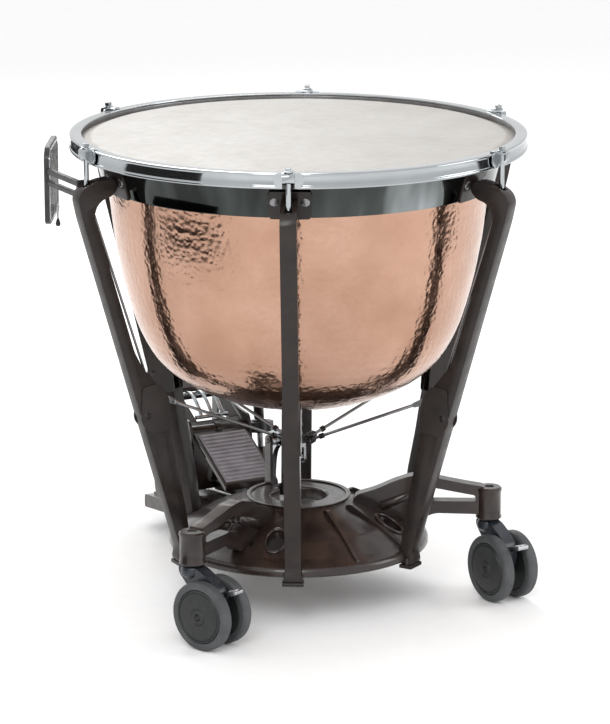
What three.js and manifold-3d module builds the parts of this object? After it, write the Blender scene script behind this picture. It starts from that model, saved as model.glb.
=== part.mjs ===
// Pedal timpani, 29 inch: copper kettle on a six-strut frame with two casters and a rear foot.
// Millimetres, +Z up, the player's side (the pedal) towards +Y, floor at z = 0.
// A "spoke" is a vertical half-plane through the drum's axis. Its angle is counted from -Y
// towards +X. Inside a spoke group +X is radial, +Y is tangential and +Z is up.
import * as THREE from 'three';
import { mergeVertices } from 'three/addons/utils/BufferGeometryUtils.js';
import Module from 'manifold-3d';

const wasm = await Module();
wasm.setup();

// ---- driving dimensions ------------------------------------------------------------------
const GAP = 0.3;
const ROUND = 36;
const HOOP = { outer: 406.5, inner: 384.5, top: 854, bottom: 827, wall: 3 };
const HEAD = { top: 848, thick: 1.7, bend: 369, edge: 376 };
const BOWL = { wall: 2.6, lip: 846, pole: 359, vent: 12, bandFrom: 700 };
const BAND = { depth: 20, top: 845, bottom: 768, topRadius: 368.5, bottomRadius: 348 };
const STRUT = { width: 28.5, depth: 25, foot: [241, 101], shoulder: [435, 761] };
const STRUT_ANGLES = [-30, 30, 90, 150, -150, -90];
const CRANK = { pivot: [309, 371], rodPin: [270, 396], wirePin: [283, 375], thick: 6 };
const EYE = { wire: 38, rod: 26, from: 3.4, to: 6.8 };
const SCREW = { radius: 413, rod: 4.5, bottom: 790.5, top: 866 };
const WIRE_TOP = [408, 766];
const SPIDER = { z: 287, ring: 22, tube: 3 };
const BASE = { top: 182, bottom: 96, hub: 93, hole: 50, rim: 237 };
const LEG = { angle: 60, post: 346, postRadius: 23.5, bore: 10 };
const ROCKER = { pivot: [85, 264], inner: [0, 250], lower: [108.4, 123.9], thick: 10 };
const PEDAL = { pivot: [335, 225], lower: [358.4, 124.7], width: 110, low: [175, 147], high: [412, 272] };
const CRADLE = { inside: 59.5, outside: 64.5 };
const DECK = { width: 130, end: 525 };
const FOOT = { y: 470, radius: 32 };
const WHEEL = { radius: 61.5, width: 22, offset: 26.5, trail: 45 };
const CASTER_TRAILS = { left: 22.6, right: 5.6 };
const TUNER = { wheel: [98, 348, 215], top: [102, 418, 760], tube: 10, rod: 6 };
const GAUGE = { angle: -120, radius: 441, thick: 10, width: 150, bottom: 692, top: 832 };
const CENTRE_Y = (HOOP.outer - DECK.end) / 2;

// ---- small helpers ----------------------------------------------------------------------
const radians = THREE.MathUtils.degToRad;
const spokeTurn = (angle) => radians(angle - 90);

function solid(geometry) {
  const bare = geometry.index ? geometry.toNonIndexed() : geometry.clone();
  bare.deleteAttribute('normal');
  bare.deleteAttribute('uv');
  const merged = mergeVertices(bare, 1e-4);
  const index = merged.index.array;
  const corners = [];
  for (let i = 0; i < index.length; i += 3) {
    const [a, b, c] = [index[i], index[i + 1], index[i + 2]];
    if (a !== b && b !== c && c !== a) corners.push(a, b, c);
  }
  return new wasm.Manifold(new wasm.Mesh({
    numProp: 3,
    vertProperties: new Float32Array(merged.attributes.position.array),
    triVerts: new Uint32Array(corners),
  }));
}

function geometryOf(body) {
  const mesh = body.getMesh();
  const geometry = new THREE.BufferGeometry();
  geometry.setAttribute('position', new THREE.BufferAttribute(mesh.vertProperties, 3));
  geometry.setIndex(new THREE.BufferAttribute(mesh.triVerts, 1));
  geometry.computeVertexNormals();
  return geometry;
}

const join = (...bodies) => bodies.reduce((sum, body) => sum.add(body));
const cut = (body, ...tools) => tools.reduce((rest, tool) => rest.subtract(tool), body);

// A ring or disc about the Z axis from a profile of [radius, height] points.
function turned(profile, segments = ROUND) {
  let area = 0;
  profile.forEach(([r, z], i) => {
    const [nextR, nextZ] = profile[(i + 1) % profile.length];
    area += r * nextZ - nextR * z;
  });
  const ordered = area > 0 ? profile : [...profile].reverse();
  const points = ordered.map(([r, z]) => new THREE.Vector2(r, z));
  const onAxis = points[0].x === 0 && points[points.length - 1].x === 0;
  if (!onAxis) points.push(points[0].clone());
  return solid(new THREE.LatheGeometry(points, segments).rotateX(Math.PI / 2));
}

// An outline in the radial-vertical plane, extruded along the tangent between two offsets.
function plate(outline, from, to, holes = []) {
  const shape = new THREE.Shape(outline.map(([r, z]) => new THREE.Vector2(r, z)));
  for (const hole of holes) {
    shape.holes.push(new THREE.Path(hole.map(([r, z]) => new THREE.Vector2(r, z))));
  }
  const flat = new THREE.ExtrudeGeometry(shape, { depth: to - from, bevelEnabled: false });
  return solid(flat.rotateX(Math.PI / 2).translate(0, to, 0));
}

// The same for an outline of [y, z] points, extruded along X.
function sidePlate(outline, from, to, holes = []) {
  return plate(outline, -to, -from, holes).rotate([0, 0, 90]);
}

function box(low, high) {
  const size = high.map((value, i) => value - low[i]);
  const middle = high.map((value, i) => (value + low[i]) / 2);
  return solid(new THREE.BoxGeometry(...size).translate(...middle));
}

// A round bar between two points.
function bar(start, end, radius, sides = 10, endRadius = radius) {
  const [a, b] = [new THREE.Vector3(...start), new THREE.Vector3(...end)];
  const direction = b.clone().sub(a);
  const geometry = new THREE.CylinderGeometry(endRadius, radius, direction.length(), sides);
  const up = new THREE.Vector3(0, 1, 0);
  const turn = new THREE.Quaternion().setFromUnitVectors(up, direction.clone().normalize());
  geometry.applyQuaternion(turn).translate(...a.add(b).multiplyScalar(0.5).toArray());
  return solid(geometry);
}

const pin = ([r, z], radius, from, to, sides = 8) => bar([r, from, z], [r, to, z], radius, sides);
const crossPin = ([y, z], radius, from, to, sides = 10) => bar([from, y, z], [to, y, z], radius, sides);

// Outline of a link: two round ends joined by straight sides.
function linkOutline([ar, az], [br, bz], startRadius, endRadius, steps = 3) {
  const heading = Math.atan2(bz - az, br - ar);
  const points = [];
  for (let i = 0; i <= steps; i += 1) {
    const angle = heading + Math.PI / 2 + (Math.PI * i) / steps;
    points.push([ar + startRadius * Math.cos(angle), az + startRadius * Math.sin(angle)]);
  }
  for (let i = 0; i <= steps; i += 1) {
    const angle = heading - Math.PI / 2 + (Math.PI * i) / steps;
    points.push([br + endRadius * Math.cos(angle), bz + endRadius * Math.sin(angle)]);
  }
  return points;
}

const along = ([ar, az], [br, bz], distance) => {
  const length = Math.hypot(br - ar, bz - az);
  return [ar + ((br - ar) * distance) / length, az + ((bz - az) * distance) / length];
};

const finish = (color, roughness, metalness = 0) => ({ color, roughness, metalness });
const COPPER = finish(0xd7ac94, 0.3, 1);
const CHROME = finish(0xcfd6dc, 0.12, 1);
const CASTING = finish(0x322320, 0.35, 0.2);
const BLACK = finish(0x1c1d1e, 0.5);
const STEEL = finish(0x6e6e6e, 0.35, 1);
const SKIN = finish(0xded9d4, 0.7);
const RUBBER = finish(0x5f6162, 0.8);
const HOOD = finish(0x1e2226, 0.4);
const TREAD = finish(0x7d7a7f, 0.85);

const drum = new THREE.Group();
drum.position.y = CENTRE_Y;

function place(name, body, look, angle = null) {
  const mesh = new THREE.Mesh(geometryOf(body), new THREE.MeshStandardMaterial(look));
  mesh.name = name;
  if (angle !== null) mesh.rotation.z = spokeTurn(angle);
  drum.add(mesh);
  return mesh;
}

// ---- kettle -----------------------------------------------------------------------------
const BOWL_CURVE = new THREE.SplineCurve([
  [BOWL.vent, BOWL.pole], [110, 369], [190, 397], [245, 436], [281, 490],
  [307, 565], [327, 660], [342, 768], [366, 846],
].map(([r, z]) => new THREE.Vector2(r, z)));
const bowlOuter = BOWL_CURVE.getPoints(8).map((p) => [p.x, p.y]);
const bowlInner = bowlOuter.map(([r, z], i) => {
  const before = bowlOuter[Math.max(i - 1, 0)];
  const after = bowlOuter[Math.min(i + 1, bowlOuter.length - 1)];
  const [dr, dz] = [after[0] - before[0], after[1] - before[1]];
  const length = Math.hypot(dr, dz);
  return [r - (BOWL.wall * dz) / length, z + (BOWL.wall * dr) / length];
});
bowlInner[0] = [BOWL.vent, bowlOuter[0][1] + BOWL.wall];
bowlInner[bowlInner.length - 1] = [bowlOuter[bowlOuter.length - 1][0] - BOWL.wall, BOWL.lip];
const bowl = turned([...bowlOuter, ...bowlInner.reverse()]);
place('bowl', bowl, COPPER);

// The chrome band tapers with the kettle and hugs it all round.
const bandProfile = (grow) => [
  [BAND.bottomRadius + grow, BAND.bottom - grow],
  [BAND.topRadius + grow, BAND.top + grow],
  [BAND.topRadius - BAND.depth, BAND.top + grow],
  [BAND.bottomRadius - BAND.depth, BAND.bottom - grow],
];
const kettleSpace = turned([
  ...bowlOuter.filter(([, z]) => z > BOWL.bandFrom).map(([r, z]) => [r + GAP, z]),
  [bowlOuter[bowlOuter.length - 1][0] + GAP, 900],
  [0, 900],
  [0, BOWL.bandFrom],
  [bowlOuter.find(([, z]) => z > BOWL.bandFrom)[0] + GAP, BOWL.bandFrom],
]);
place('bowl_band', cut(turned(bandProfile(0)), kettleSpace), CHROME);
const bandSpace = turned([...bandProfile(GAP).slice(0, 2), [0, BAND.top + GAP], [0, BAND.bottom - GAP]]);

// ---- head, flesh hoop and counterhoop ------------------------------------------------------
place('drumhead', turned([
  [0, HEAD.top - HEAD.thick], [HEAD.bend, HEAD.top - HEAD.thick], [HEAD.edge, HEAD.top - HEAD.thick - 2.5],
  [HEAD.edge, HEAD.top - 2.5], [HEAD.bend, HEAD.top], [0, HEAD.top],
]), SKIN);
place('flesh_hoop', turned([
  [377, 843.4], [388, 838], [400, 838], [400, 850], [388, 850], [377, 845.1],
]), SKIN);

const hoopRing = turned([
  [HOOP.outer - HOOP.wall, HOOP.bottom], [HOOP.outer, HOOP.bottom], [HOOP.outer, HOOP.top],
  [HOOP.inner, HOOP.top], [HOOP.inner, HOOP.top - HOOP.wall], [HOOP.outer - HOOP.wall, HOOP.top - HOOP.wall],
]);
const clawBody = cut(
  join(
    box([394, -12, HOOP.top - 1], [423, 12, 857.5]),
    box([HOOP.outer - 2, -25, 829], [HOOP.outer + 2.5, 25, 856]),
    box([404, -9, 838], [423, 9, 857]),
  ),
  box([380, -30, 800], [HOOP.outer - 2.5, 30, HOOP.top - 1]),
  bar([SCREW.radius, 0, 820], [SCREW.radius, 0, 870], SCREW.rod + 0.4),
);
const claws = STRUT_ANGLES.map((angle) => clawBody.rotate([0, 0, angle - 90]));
place('counterhoop', cut(
  join(hoopRing, ...claws),
  ...STRUT_ANGLES.map((angle) => bar([SCREW.radius, 0, 820], [SCREW.radius, 0, 870], SCREW.rod + 0.4)
    .rotate([0, 0, angle - 90])),
), CHROME);

// ---- struts and the tuning linkage in each --------------------------------------------------
const outerAt = (z) => STRUT.foot[0] + ((STRUT.shoulder[0] - STRUT.foot[0]) * (z - STRUT.foot[1]))
  / (STRUT.shoulder[1] - STRUT.foot[1]);
const innerAt = (z) => outerAt(z) - STRUT.depth;
const strutOutline = [
  [222, 101], [228, 86], [250, 84], [253, 97], [243, 108], STRUT.shoulder,
  [434, 778], [425, 788], [405, 795],
  [388, 800], [340, 800], [340, 770], [385, 768], [398, 761], [innerAt(745), 745],
  [330, 484], [275, 395], [262, 333], [251, 268], [236, 198],
];
const screwSlot = plate([[392, 700], [404, 700], [421, 745], [421, 830], [398, 830], [398, 750]], -6.6, 6.6);
const crankSlot = plate([
  [240, 345], [outerAt(345) - 3, 345], [outerAt(415) - 3, 415],
  [outerAt(500) - 6, 500], [300, 500], [240, 400],
], -8, 8);
const strutHead = box([340, -37, 763], [368, 37, 817]);
const headBolts = [-26.5, 26.5].map((side) => bar([362, side, 797], [372, side, 797], 5.5, 6));
const strut = cut(
  join(plate(strutOutline, -STRUT.width / 2, STRUT.width / 2), strutHead, ...headBolts),
  bandSpace,
  kettleSpace,
  screwSlot,
  crankSlot,
  pin(CRANK.pivot, 4.35, -20, 20),
);
const base = cut(
  turned([
    [BASE.hole, BASE.top], [BASE.hub, BASE.top], [98, 178], [130, 166], [175, 146],
    [215, 122], [BASE.rim, 108],
    [BASE.rim, BASE.bottom], [224, BASE.bottom], [205, 111], [165, 132], [120, 150],
    [80, 158], [BASE.hole, 158],
  ]),
  box([-14, BASE.hole - 10, 60], [14, BASE.rim + 5, 200]),
  ...STRUT_ANGLES.map((angle) => box([221.5, -14.6, 60], [260, 14.6, 125]).rotate([0, 0, angle - 90])),
);
const baseSpace = turned([
  [0, BASE.top + GAP], [BASE.hub + GAP, BASE.top + GAP], [98.3, 178.4], [130.2, 166.4], [175.2, 146.4],
  [215.2, 122.4], [BASE.rim + GAP, 108.2], [BASE.rim + GAP, BASE.bottom - GAP], [0, BASE.bottom - GAP],
]);
const fulcrumEar = (from, to) => sidePlate(
  linkOutline([85, 180], ROCKER.pivot, 12, 11),
  from,
  to,
).subtract(crossPin(ROCKER.pivot, 4.4, -30, 30));
place('base_casting', join(base, fulcrumEar(14.2, 20), fulcrumEar(-20, -14.2)), CASTING);

const wireStart = along(CRANK.wirePin, WIRE_TOP, EYE.wire);
const wireFork = (from, to) => plate(linkOutline(CRANK.wirePin, wireStart, 9, 5), from, to);
const strutRod = cut(
  join(
    wireFork(EYE.from, EYE.to),
    pin(wireStart, 4.5, -3, EYE.to, 6),
    bar([wireStart[0], 0, wireStart[1]], [WIRE_TOP[0], 0, WIRE_TOP[1]], 2.5, 6),
    bar([410, 0, 762], [410, 0, SCREW.bottom - 1], 6, 6),
  ),
  pin(CRANK.wirePin, 5.6, -10, 10),
);
const crank = join(
  plate([
    [317, 371], [314, 377.5], [300, 386], [277, 402], [267, 403.5], [262.5, 397], [265, 390], [276, 371],
    [283, 368], [300, 366], [308, 363], [315, 366],
  ], -CRANK.thick / 2, CRANK.thick / 2),
  pin(CRANK.pivot, 4, -16, 16),
  pin(CRANK.rodPin, 3, -7.2, 0, 6),
  pin(CRANK.wirePin, 3, 0, 7.2, 6),
);
const spiderPin = [SPIDER.ring, SPIDER.z];
const rodForkEnd = along(CRANK.rodPin, spiderPin, EYE.rod);
const rodEyeEnd = along(spiderPin, CRANK.rodPin, 8);
const rodFork = (from, to) => plate(linkOutline(CRANK.rodPin, rodForkEnd, 7, 4.5), from, to);
const pullRod = cut(
  join(
    rodFork(-EYE.to, -EYE.from),
    pin(rodForkEnd, 4.5, -EYE.to, 3, 6),
    bar([rodForkEnd[0], 0, rodForkEnd[1]], [rodEyeEnd[0], 0, rodEyeEnd[1]], 3, 6),
    plate(linkOutline(spiderPin, rodEyeEnd, 9, 9), -2.5, 2.5),
  ),
  pin(CRANK.rodPin, 3.5, -10, 10),
  pin(spiderPin, 6.4, -10, 10),
);
const screw = join(
  bar([SCREW.radius, 0, SCREW.bottom], [SCREW.radius, 0, 860], SCREW.rod, 8),
  box([SCREW.radius - 6, -6, 858], [SCREW.radius + 6, 6, SCREW.top]),
);
STRUT_ANGLES.forEach((angle, i) => {
  const number = i + 1;
  place(`strut_${number}`, strut, CASTING, angle);
  place(`strut_rod_${number}`, strutRod, STEEL, angle);
  place(`bell_crank_${number}`, crank, CASTING, angle);
  place(`pull_rod_${number}`, pullRod, STEEL, angle);
  place(`tension_screw_${number}`, screw, CHROME, angle);
});

// ---- spider, rocker and drag link --------------------------------------------------------
const ringSection = [];
for (let i = 0; i < 6; i += 1) {
  const turn = (i / 6) * Math.PI * 2;
  ringSection.push([SPIDER.ring + SPIDER.tube * Math.cos(turn), SPIDER.z + SPIDER.tube * Math.sin(turn)]);
}
const spiderArms = [0, 60, 120].map((angle) => box([-22, -2, SPIDER.z - 2.5], [22, 2, SPIDER.z + 2.5])
  .rotate([0, 0, angle - 90]));
const clevisCheek = (from, to) => sidePlate(linkOutline(ROCKER.inner, [0, 272], 9, 9), from, to);
place('spider', join(
  turned(ringSection, 12),
  ...spiderArms,
  bar([0, 0, 271], [0, 0, 302], 7),
  box([-11, -9, 271], [11, 9, 280]),
  clevisCheek(6.5, 11),
  clevisCheek(-11, -6.5),
  crossPin(ROCKER.inner, 3.5, -12, 12),
), STEEL);

const rockerOutline = [
  [-9, 250], [-8, 256.5], [0, 261], [30, 278], [62, 286], [95, 281], [112, 262], [120, 215], [120, 140],
  [117.5, 124], [108.4, 115], [99.5, 122], [98, 205], [88, 243], [62, 262], [30, 256], [6, 241.5], [-5, 243],
];
const half = ROCKER.thick / 2;
place('rocker', cut(
  join(
    sidePlate(rockerOutline, -half, half),
    crossPin(ROCKER.pivot, 9, -13.6, 13.6),
    crossPin(ROCKER.pivot, 4, -22, 22),
    crossPin(ROCKER.lower, 4, 0, 13),
  ),
  crossPin(ROCKER.inner, 5.6, -20, 20),
), CHROME);
place('drag_link', cut(
  sidePlate(linkOutline(ROCKER.lower, PEDAL.lower, 8, 8), half + 0.5, half + 6.5),
  crossPin(ROCKER.lower, 4.4, -20, 20),
  crossPin(PEDAL.lower, 5.3, -20, 20),
), STEEL);

// ---- pedal -------------------------------------------------------------------------------
const slope = (PEDAL.high[1] - PEDAL.low[1]) / (PEDAL.high[0] - PEDAL.low[0]);
const plateTop = (y) => PEDAL.low[1] + (y - PEDAL.low[0]) * slope;
const plateLine = (from, to, low, high) => [
  [from, plateTop(from) + low], [to, plateTop(to) + low],
  [to, plateTop(to) + high], [from, plateTop(from) + high],
];
place('footplate', cut(
  join(
    sidePlate(plateLine(188, 452, -9, 0), -PEDAL.width / 2, PEDAL.width / 2),
    sidePlate(plateLine(440, 456, -20, 4), -PEDAL.width / 2, PEDAL.width / 2),
    crossPin(PEDAL.pivot, 11, -PEDAL.width / 2 - 3, PEDAL.width / 2 + 3),
    crossPin(PEDAL.pivot, 5, -67, 67),
    sidePlate(linkOutline(PEDAL.pivot, PEDAL.lower, 14, 9), -half, half),
    crossPin(PEDAL.lower, 4, 0, 13),
  ),
  sidePlate(plateLine(352, 428, -30, 30), -34, 34),
), CASTING);
place('footplate_tread', sidePlate(plateLine(194, 314, GAP, 5), -49, 49), TREAD);

const cradleOutline = [
  [300, 81.5], [470, 62.8], [480, 90], [474, 300], [458, 304],
  [430, 262], [352, 250], [322, 248], [314, 222],
];
const cradleWindow = [[330, 105], [455, 92], [454, 235], [345, 200]];
const cradleSide = (from, to) => sidePlate(cradleOutline, from, to, [[...cradleWindow].reverse()])
  .subtract(crossPin(PEDAL.pivot, 5.4, -80, 80));
const deckOutline = [
  [150, 95.6], [240, 95.6], [252, 86], [DECK.end, 56], [DECK.end, 30], [252, 64], [150, 70],
];
const deckSpace = sidePlate(deckOutline.map(([y, z], i) => [y, z + (i < 4 ? GAP : -GAP)]), -100, 100);
place('pedal_cradle', cut(
  join(
    cradleSide(CRADLE.inside, CRADLE.outside),
    cradleSide(-CRADLE.outside, -CRADLE.inside),
    box([-60, 466, 60], [60, 472, 200]),
  ),
  deckSpace,
), CASTING);
place('pedal_deck', sidePlate(deckOutline, -DECK.width / 2, DECK.width / 2), CASTING);
const footBlock = bar([0, FOOT.y, 0], [0, FOOT.y, 60], FOOT.radius, 24);
place('rear_foot', cut(footBlock, deckSpace, box([-50, 400, 45], [50, 560, 200])), RUBBER);

// ---- front legs and casters -----------------------------------------------------------------
const legOutline = [
  [150, 130], [176, 172], [190, 208], [208, 224], [240, 221], [330, 204], [346, 203],
  [346, 141], [330, 150], [250, 152], [225, 140], [205, 118],
];
const legWindow = [[216, 182], [222, 194], [240, 198], [318, 186], [318, 176], [240, 176]];
const leg = cut(
  join(
    plate(legOutline, -13, 13, [[...legWindow].reverse()]),
    bar([LEG.post, 0, 140], [LEG.post, 0, 201], LEG.postRadius, 24),
  ),
  baseSpace,
  bar([LEG.post, 0, 130], [LEG.post, 0, 186], LEG.bore + 0.4, 12),
);
place('leg_left', leg, CASTING, -LEG.angle);
place('leg_right', leg, CASTING, LEG.angle);

const hood = join(
  plate([
    [-18, 139], [18, 139], [30, 130], [50, 118], [66, 106], [70, 90], [60, 55], [45, 44],
    [30, 52], [8, 92], [-14, 118],
  ], -13, 13),
  bar([0, 0, 124], [0, 0, 139.4], 20, 16),
  bar([0, 0, 130], [0, 0, 182], LEG.bore - 0.4),
  pin([WHEEL.trail, WHEEL.radius], 6, -40, 40),
);
const wheelDisc = cut(
  bar([WHEEL.trail, 0, WHEEL.radius], [WHEEL.trail, WHEEL.width, WHEEL.radius], WHEEL.radius, 20),
  bar([WHEEL.trail, WHEEL.width - 5, WHEEL.radius], [WHEEL.trail, WHEEL.width + 1, WHEEL.radius], 47, 16),
  pin([WHEEL.trail, WHEEL.radius], 6.4, -1, WHEEL.width + 1, 16),
);
const wheelHub = cut(
  pin([WHEEL.trail, WHEEL.radius], 15, WHEEL.width - 6, WHEEL.width),
  pin([WHEEL.trail, WHEEL.radius], 6.4, -1, WHEEL.width + 1, 16),
);
const wheel = join(wheelDisc, wheelHub).translate([0, WHEEL.offset - WHEEL.width / 2, 0]);
const brake = join(
  plate([[75, 98], [84, 99], [106, 106], [107, 113], [104, 114], [80, 107], [74, 106]], -11, 11),
  pin([78, 102], 4.5, -12.5, 12.5, 12),
);

for (const [side, trail] of Object.entries(CASTER_TRAILS)) {
  const caster = new THREE.Group();
  const postTurn = radians(side === 'left' ? -LEG.angle - 90 : LEG.angle - 90);
  caster.position.set(LEG.post * Math.cos(postTurn), LEG.post * Math.sin(postTurn), 0);
  caster.rotation.z = spokeTurn(trail);
  drum.add(caster);
  const outer = place(`caster_wheel_${side}_a`, wheel, RUBBER);
  const inner = place(`caster_wheel_${side}_b`, wheel.mirror([0, 1, 0]), RUBBER);
  const fork = place(`caster_fork_${side}`, hood, HOOD);
  const tab = place(`caster_brake_${side}`, brake, STEEL);
  caster.add(outer, inner, fork, tab);
}

// ---- fine tuner -----------------------------------------------------------------------------
const wheelPoint = new THREE.Vector3(...TUNER.wheel);
const tunerTop = new THREE.Vector3(...TUNER.top);
const tunerAxis = tunerTop.clone().sub(wheelPoint).normalize();
const onTuner = (distance) => wheelPoint.clone().addScaledVector(tunerAxis, distance).toArray();
const tunerLength = tunerTop.distanceTo(wheelPoint);
place('tuner_tube', join(
  bar(onTuner(14), onTuner(tunerLength), TUNER.tube),
  bar(onTuner(-85), onTuner(16), TUNER.rod),
  bar(onTuner(-85), onTuner(-40), TUNER.tube),
  bar([69, 324, 152], onTuner(-62), 7, 8),
  bar([CRADLE.outside + GAP, 322, 152], [70, 322, 152], 11),
), CASTING);
place('tuner_handwheel', cut(
  bar(onTuner(-12.5), onTuner(12.5), 27, 20),
  bar(onTuner(-20), onTuner(20), TUNER.rod + 0.4),
), BLACK);
const crankSide = new THREE.Vector3(1, 0, 0).addScaledVector(tunerAxis, -tunerAxis.x).normalize();
const onCrank = (lift, reach) => new THREE.Vector3(...onTuner(tunerLength + lift))
  .addScaledVector(crankSide, reach).toArray();
place('tuner_crank', join(
  bar(onCrank(0.5, 0), onCrank(15, 0), 12, 16),
  bar(onCrank(8, 0), onCrank(8, 55), 5, 8),
  bar(onCrank(4, 55), onCrank(22, 55), 4.5, 10),
  solid(new THREE.SphereGeometry(13, 10, 8).translate(...onCrank(30, 55))),
), BLACK);

const bracketAngle = 150;
const bracketLocal = (point) => new THREE.Vector3(...point)
  .applyAxisAngle(new THREE.Vector3(0, 0, 1), -spokeTurn(bracketAngle)).toArray();
const ringAt = tunerLength - 30;
place('tuner_bracket', cut(
  join(
    bar(bracketLocal(onTuner(ringAt - 8)), bracketLocal(onTuner(ringAt + 8)), 17, 14),
    bar([412, STRUT.width / 2 + 3, 733], bracketLocal(onTuner(ringAt)), 6, 8),
    bar([412, STRUT.width / 2 + GAP, 733], [412, STRUT.width / 2 + 5, 733], 10),
  ),
  bar(bracketLocal(onTuner(ringAt - 30)), bracketLocal(onTuner(ringAt + 30)), TUNER.tube + 0.8, 14),
), CASTING, bracketAngle);

// ---- tuning gauge, carried by the strut at -90 degrees ----------------------------------------
const gaugeTurn = (body) => body.rotate([0, 0, GAUGE.angle + 90]);
const gaugeInner = GAUGE.radius - GAUGE.thick / 2;
place('tuning_gauge', join(
  gaugeTurn(box(
    [gaugeInner, -GAUGE.width / 2, GAUGE.bottom],
    [gaugeInner + GAUGE.thick, GAUGE.width / 2, GAUGE.top],
  )),
  box([410, -165, 786], [421, -STRUT.width / 2 - GAP, 796]),
  box([410, -165, 766], [421, -STRUT.width / 2 - GAP, 775]),
), BLACK, -90);
place('gauge_pointer', join(
  box([gaugeInner - 8, -8, 702], [gaugeInner - GAP, 8, 716]),
  bar([gaugeInner - 5, 0, 690], [gaugeInner - 5, 0, 705], 1.5, 8),
  bar([gaugeInner - 5, 0, 676], [gaugeInner - 5, 0, 692], 4.5, 10, 1.5),
), STEEL, GAUGE.angle);

export default drum;
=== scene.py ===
import math

import bpy
import numpy as np
from mathutils import Matrix, Vector
from mathutils.geometry import tessellate_polygon


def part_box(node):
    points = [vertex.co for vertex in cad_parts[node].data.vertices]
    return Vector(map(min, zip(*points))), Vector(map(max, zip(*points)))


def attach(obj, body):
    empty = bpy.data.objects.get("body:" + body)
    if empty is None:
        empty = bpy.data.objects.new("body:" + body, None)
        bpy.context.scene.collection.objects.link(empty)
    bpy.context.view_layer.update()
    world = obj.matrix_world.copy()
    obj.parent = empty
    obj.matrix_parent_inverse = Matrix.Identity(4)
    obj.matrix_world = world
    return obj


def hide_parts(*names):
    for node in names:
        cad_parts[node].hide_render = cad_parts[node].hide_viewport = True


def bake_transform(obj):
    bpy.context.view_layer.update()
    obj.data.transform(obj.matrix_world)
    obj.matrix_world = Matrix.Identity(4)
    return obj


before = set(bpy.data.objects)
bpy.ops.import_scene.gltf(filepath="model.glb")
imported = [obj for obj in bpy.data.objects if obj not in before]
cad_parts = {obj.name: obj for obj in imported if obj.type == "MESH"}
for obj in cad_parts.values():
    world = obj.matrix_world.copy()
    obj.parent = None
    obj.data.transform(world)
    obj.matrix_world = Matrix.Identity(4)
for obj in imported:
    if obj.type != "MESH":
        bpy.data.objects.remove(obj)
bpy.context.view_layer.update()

# Everything is in metres, in the row frame. A "seat" is the matrix that puts a piece in its place.
# In a spoke's seat +X is radial, +Y tangential and +Z up. Its angle counts from -Y towards +X.
MM = 0.001
KETTLE = sum(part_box("bowl"), Vector()) / 2
AXIS_Y = KETTLE.y
STRUT_ANGLES = [-30, 30, 90, 150, -150, -90]


def spoke(angle):
    return Matrix.Translation((0, AXIS_Y, 0)) @ Matrix.Rotation(math.radians(angle - 90), 4, "Z")


CENTRE = Matrix.Translation((0, AXIS_Y, 0))


# ---- camera: the listener's view, from the front left and above -------------------------------
CAMERA_AT = (-2.828, -5.391 + AXIS_Y, 1.958)
AIM = (0.010, AXIS_Y - 0.006, 0.430)
camera_data = bpy.data.cameras.new("camera")
camera_data.lens = 173
camera_data.sensor_width = 36
camera_data.sensor_fit = "AUTO"
camera = bpy.data.objects.new("camera", camera_data)
camera.location = CAMERA_AT
camera.rotation_euler = (Vector(AIM) - Vector(CAMERA_AT)).to_track_quat("-Z", "Y").to_euler()
bpy.context.scene.collection.objects.link(camera)
bpy.context.scene.camera = camera


# ---- materials --------------------------------------------------------------------------------
class Nodes:
    """A principled material and short calls for its node tree."""

    def __init__(self, name, roughness=0.4, metallic=0.0, color=(0.5, 0.5, 0.5)):
        self.material = bpy.data.materials.new(name)
        self.material.use_nodes = True
        self.tree = self.material.node_tree
        self.shader = self.tree.nodes["Principled BSDF"]
        self.shader.inputs["Base Color"].default_value = (*color, 1)
        self.shader.inputs["Roughness"].default_value = roughness
        self.shader.inputs["Metallic"].default_value = metallic
        self.where = self.tree.nodes.new("ShaderNodeTexCoord").outputs["Object"]

    def set(self, **values):
        for socket, value in values.items():
            self.shader.inputs[socket.replace("_", " ")].default_value = value
        return self

    def node(self, kind, inputs=None, **settings):
        node = self.tree.nodes.new(kind)
        for key, value in settings.items():
            setattr(node, key, value)
        for key, value in (inputs or {}).items():
            if isinstance(value, bpy.types.NodeSocket):
                self.tree.links.new(value, node.inputs[key])
            else:
                node.inputs[key].default_value = value
        return node

    def stretched(self, scale):
        return self.node("ShaderNodeMapping", {"Vector": self.where, "Scale": scale}).outputs["Vector"]

    def noise(self, scale, detail=4, vector=None, roughness=0.5):
        inputs = {"Vector": vector or self.where, "Scale": scale, "Detail": detail, "Roughness": roughness}
        return self.node("ShaderNodeTexNoise", inputs).outputs["Fac"]

    def cells(self, scale, feature="SMOOTH_F1"):
        return self.node("ShaderNodeTexVoronoi", {"Vector": self.where, "Scale": scale},
            feature=feature).outputs[0]

    def ramp(self, value, stops):
        node = self.node("ShaderNodeValToRGB", {"Fac": value})
        elements = node.color_ramp.elements
        while len(elements) < len(stops):
            elements.new(0.5)
        for element, (place, color) in zip(elements, stops):
            element.position = place
            element.color = (*color, 1) if isinstance(color, tuple) else (color, color, color, 1)
        return node.outputs["Color"]

    def mix(self, factor, a, b):
        node = self.node("ShaderNodeMix", {0: factor, 6: a, 7: b}, data_type="RGBA")
        return node.outputs[2]

    def color(self, socket):
        self.tree.links.new(socket, self.shader.inputs["Base Color"])
        return self

    def rough(self, socket):
        self.tree.links.new(socket, self.shader.inputs["Roughness"])
        return self

    def bump(self, *layers):
        below = None
        for height, strength, distance in layers:
            inputs = {"Height": height, "Strength": strength, "Distance": distance}
            if below:
                inputs["Normal"] = below
            below = self.node("ShaderNodeBump", inputs).outputs["Normal"]
        self.tree.links.new(below, self.shader.inputs["Normal"])
        return self


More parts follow.
